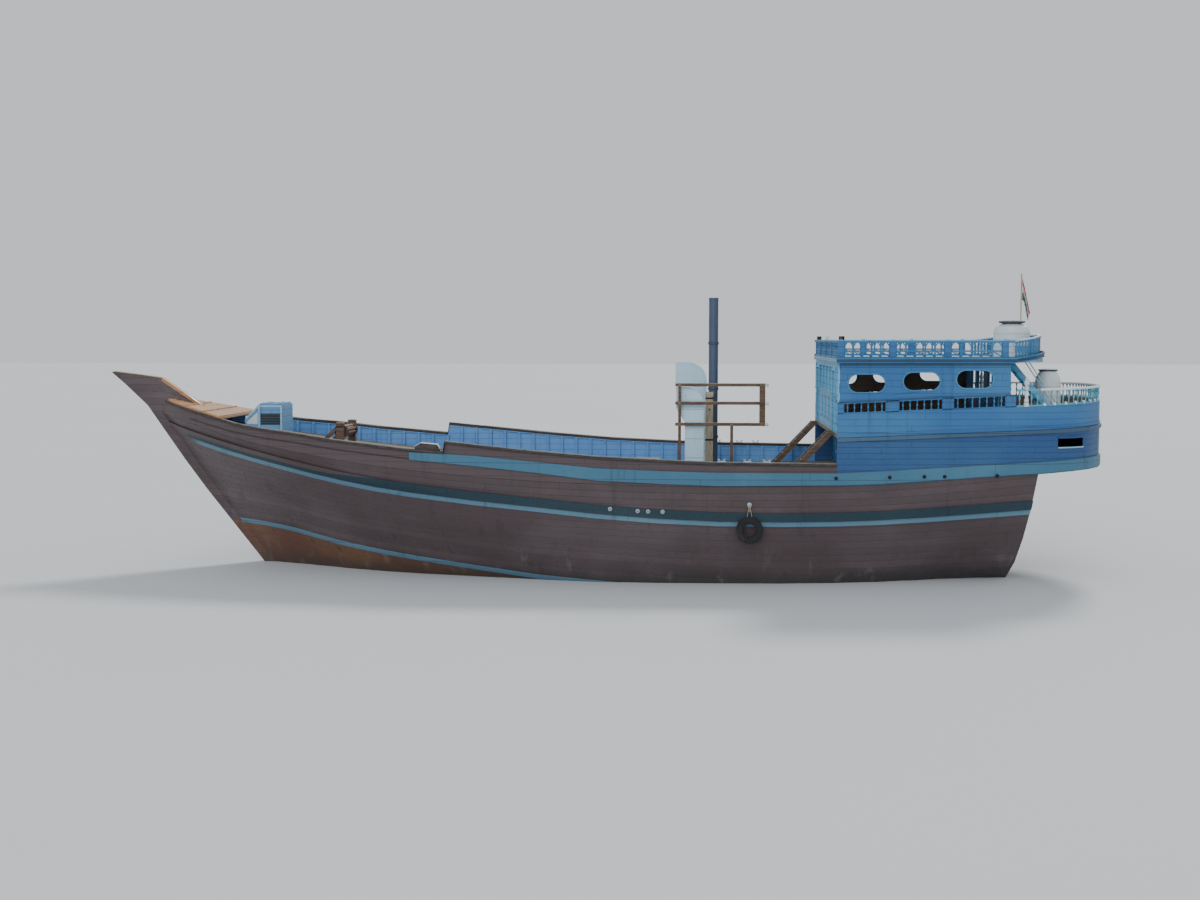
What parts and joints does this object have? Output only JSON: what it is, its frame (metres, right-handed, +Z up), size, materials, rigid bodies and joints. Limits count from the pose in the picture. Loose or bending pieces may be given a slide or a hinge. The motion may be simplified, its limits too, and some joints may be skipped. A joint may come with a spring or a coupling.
{
  "type": "wooden motor dhow",
  "caption": "Wooden cargo dhow with a raised poop, open-sided wheelhouse, stern gallery and raked stem, with turning propeller, rudder, wheel, windlass, door and hatch.",
  "frame": {"origin": "amidships on the centreline at the waterline", "axes": "+X to the bow, +Y to port, +Z up"},
  "size_m": [34.9584, 9.4004, 12.65],
  "materials": {
    "hull_planking": "dark reddish brown painted planking, weathered",
    "bottom_paint": "orange brown bottom paint, matt",
    "stripe_paint": "slate blue painted strake, satin",
    "wale": "near black painted wale, satin",
    "band_paint": "teal blue painted strake, satin",
    "navy_paint": "deep blue painted boards, satin",
    "royal_paint": "bright blue painted boards, satin",
    "light_paint": "light blue painted boards, satin",
    "white_paint": "off-white painted rail, satin",
    "dark_cap": "dark oiled hardwood",
    "deck_planks": "worn bare deck planks",
    "varnished_wood": "varnished orange hardwood, glossy",
    "brown_wood": "brown oiled hardwood",
    "pale_wood": "pale bare timber",
    "aqua_steel": "pale aqua paint on sheet steel",
    "black_steel": "sooty black steel pipe",
    "tank_plastic": "white moulded water tank",
    "flag_cloth": "limp woven cloth in striped colours",
    "bronze": "dull cast bronze",
    "fender_rubber": "worn black rubber"
  },
  "bodies": {
    "boat": {"hull": "hull_planking", "keel": "bottom_paint", "stem_post": "hull_planking", "low_stripe_port": "stripe_paint", "low_stripe_starboard": "stripe_paint", "mid_stripe_port": "stripe_paint", "mid_stripe_starboard": "stripe_paint", "wale_port": "wale", "wale_starboard": "wale", "bulwark_port": "royal_paint", "bulwark_starboard": "royal_paint", "rail_cap_port": "dark_cap", "rail_cap_starboard": "dark_cap", "band_port": "band_paint", "band_starboard": "band_paint", "main_deck": "deck_planks", "counter": "hull_planking", "stern_band": "band_paint", "poop_side": "navy_paint", "poop_front": "royal_paint", "upper_deck": "deck_planks", "poop_moulding": "wale", "poop_bulwark": "royal_paint", "side_balusters_port": "royal_paint", "side_balusters_starboard": "royal_paint", "gallery_rail": "white_paint", "wheelhouse_side_port": "royal_paint", "wheelhouse_side_starboard": "royal_paint", "wheelhouse_front": "light_paint", "wheelhouse_aft": "royal_paint", "roof": "light_paint", "roof_fascia": "light_paint", "roof_rail": "light_paint", "roof_rail_aft_port": "light_paint", "roof_rail_aft_starboard": "light_paint", "stem_platform": "varnished_wood", "companion": "light_paint", "windlass_posts": "brown_wood", "hatch_coaming": "brown_wood", "hatch_boards": "deck_planks", "cowl_port": "aqua_steel", "cowl_starboard": "aqua_steel", "exhaust_stack": "black_steel", "samson_post": "pale_wood", "rack": "brown_wood", "deck_ladder_port": "brown_wood", "deck_ladder_starboard": "brown_wood", "aft_ladder": "light_paint", "roof_tank": "tank_plastic", "gallery_tank": "tank_plastic", "flagstaff": "pale_wood", "flag": "flag_cloth", "steering_pedestal": "brown_wood", "tyre_fender": "fender_rubber"},
    "propeller": {"propeller": "bronze"},
    "rudder": {"rudder": "bottom_paint"},
    "wheel": {"steering_wheel": "brown_wood"},
    "door": {"poop_door": "light_paint"},
    "lid": {"companion_lid": "light_paint"},
    "windlass": {"windlass_drum": "brown_wood"}
  },
  "joints": [
    {"name": "propeller_spin", "type": "hinge", "parent": "boat", "child": "propeller", "pos_m": [-11.33, 0, -1.48], "axis": [1, 0, 0], "continuous": true},
    {"name": "rudder_turn", "type": "hinge", "parent": "boat", "child": "rudder", "pos_m": [-12.08, 0, -1.5], "axis": [0, 0, 1], "range_deg": [-35, 35]},
    {"name": "wheel_turn", "type": "hinge", "parent": "boat", "child": "wheel", "pos_m": [-8.44, 0, 5.804], "axis": [1, 0, 0], "range_deg": [-360, 360]},
    {"name": "door_swing", "type": "hinge", "parent": "boat", "child": "door", "pos_m": [-7.8386, 0.43, 4], "axis": [0, 0, 1], "range_deg": [0, 100]},
    {"name": "lid_lift", "type": "hinge", "parent": "boat", "child": "lid", "pos_m": [12.88, 0, 5.746], "axis": [0, 1, 0], "range_deg": [0, 95]},
    {"name": "windlass_turn", "type": "hinge", "parent": "boat", "child": "windlass", "pos_m": [9.9, 0, 4.768], "axis": [0, 1, 0], "continuous": true}
  ],
  "couplings": [
    {"joint": "wheel_turn", "follows": "rudder_turn", "ratio": 10}
  ]
}
